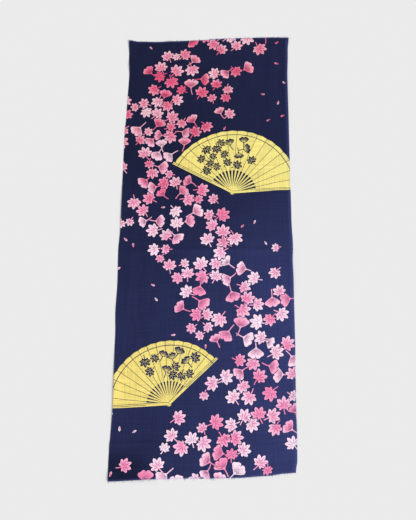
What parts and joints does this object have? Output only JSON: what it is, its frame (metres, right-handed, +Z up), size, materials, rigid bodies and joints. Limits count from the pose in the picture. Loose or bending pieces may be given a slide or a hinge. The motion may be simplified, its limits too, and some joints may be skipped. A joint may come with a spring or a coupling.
{
  "type": "tenugui towel",
  "caption": "Thin plain-woven cotton hand towel, opened out and laid flat, with woven selvedges down its long sides and raw cut ends.",
  "frame": {"origin": "on the surface that the towel lies on, under the middle of its box", "axes": "+X across the width to the right, +Y along the length to the far cut end, +Z up out of the face that shows"},
  "size_m": [0.3418, 0.9166, 0.0042],
  "materials": {
    "dyed_cotton": "matt plain weave, dyed through in navy, pink and yellow"
  },
  "bodies": {
    "root": {"towel": "dyed_cotton"}
  },
  "joints": []
}
